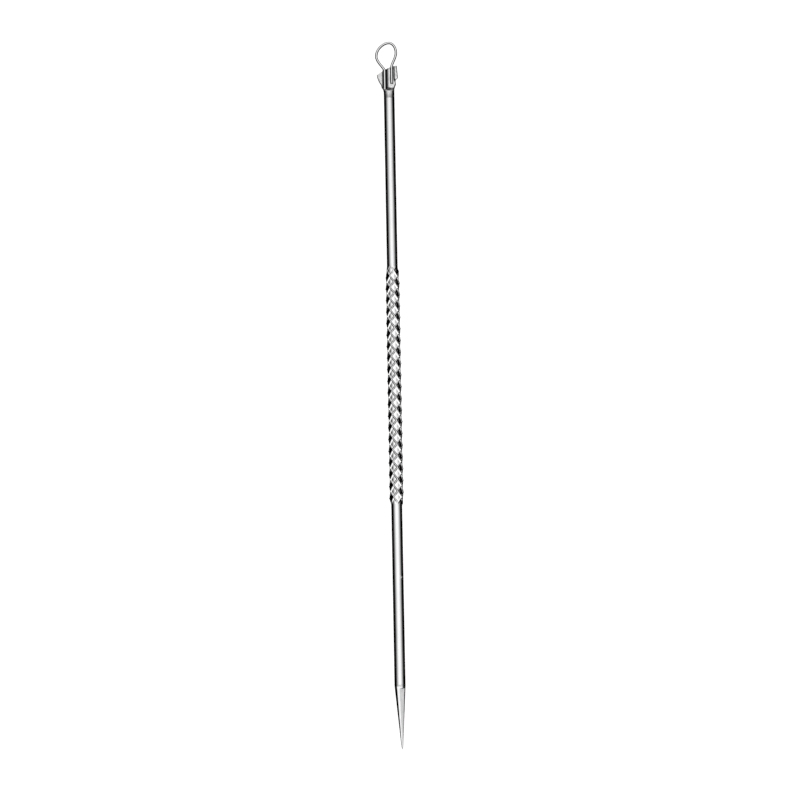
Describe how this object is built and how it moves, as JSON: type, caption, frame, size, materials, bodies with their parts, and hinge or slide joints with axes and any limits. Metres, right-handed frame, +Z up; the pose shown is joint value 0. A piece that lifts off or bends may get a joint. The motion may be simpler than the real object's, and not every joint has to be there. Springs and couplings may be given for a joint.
{
  "type": "blackhead extractor",
  "caption": "Slim steel blackhead extractor: a round handle with a knurled grip, ground to a needle point at one end, with a bent wire loop held in its pressed other end.",
  "frame": {"origin": "on the surface that the tool lies on, under the middle of the knurled grip", "axes": "+Y along the bar towards the wire loop, +Z up, square to the plane of the loop, so the needle points along -Y"},
  "size_m": [0.0039, 0.12, 0.0024],
  "materials": {
    "bar_steel": "polished stainless steel, duller where it is pressed and ground",
    "wire_steel": "bright drawn stainless steel wire"
  },
  "bodies": {
    "root": {"handle_bar": "bar_steel", "wire_loop": "wire_steel"}
  },
  "joints": []
}
